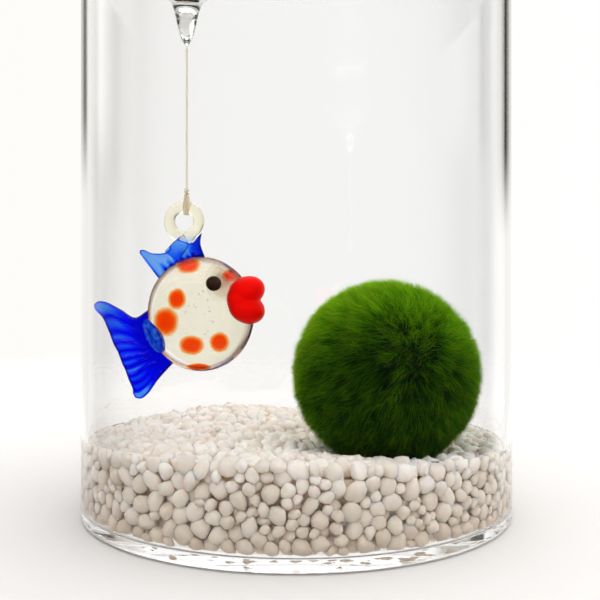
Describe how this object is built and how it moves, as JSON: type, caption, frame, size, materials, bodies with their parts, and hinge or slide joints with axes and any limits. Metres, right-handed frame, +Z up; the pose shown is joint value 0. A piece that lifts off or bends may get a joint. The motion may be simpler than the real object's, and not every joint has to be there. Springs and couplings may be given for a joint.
{
  "type": "marimo moss ball in a glass cylinder vase",
  "caption": "Green moss ball resting in pale pebble gravel in a tall water-filled clear glass cylinder, with a glass fish hung from a glass float.",
  "frame": {"origin": "centre of the vase's underside, on the surface that it stands on", "axes": "+Z up along the vase's axis; the front is -Y, with the fish on the -X side and the moss ball on the +X side"},
  "size_m": [0.12, 0.12, 0.2],
  "materials": {
    "vase_glass": "clear, polished",
    "pebbles": "matte, tumbled smooth, off-white",
    "moss": "dense fine fibres",
    "water": "clear water",
    "float_glass": "clear, blown",
    "nylon": "translucent thread",
    "cream_glass": "cream tinted, fire-polished",
    "blue_glass": "cobalt, pressed ribs",
    "red_glass": "opaque, fire-polished",
    "dark_glass": "opaque bead"
  },
  "bodies": {
    "root": {"vase": "vase_glass", "gravel_bed": "pebbles", "moss_ball": "moss", "water": "water", "float": "float_glass", "thread": "nylon", "fish_ring": "cream_glass", "fish_body": "cream_glass", "fish_tail": "blue_glass", "fish_dorsal_fin": "blue_glass", "fish_side_fin_front": "blue_glass", "fish_side_fin_back": "blue_glass", "fish_lips": "red_glass", "fish_eye_front": "dark_glass", "fish_eye_back": "dark_glass"}
  },
  "joints": []
}
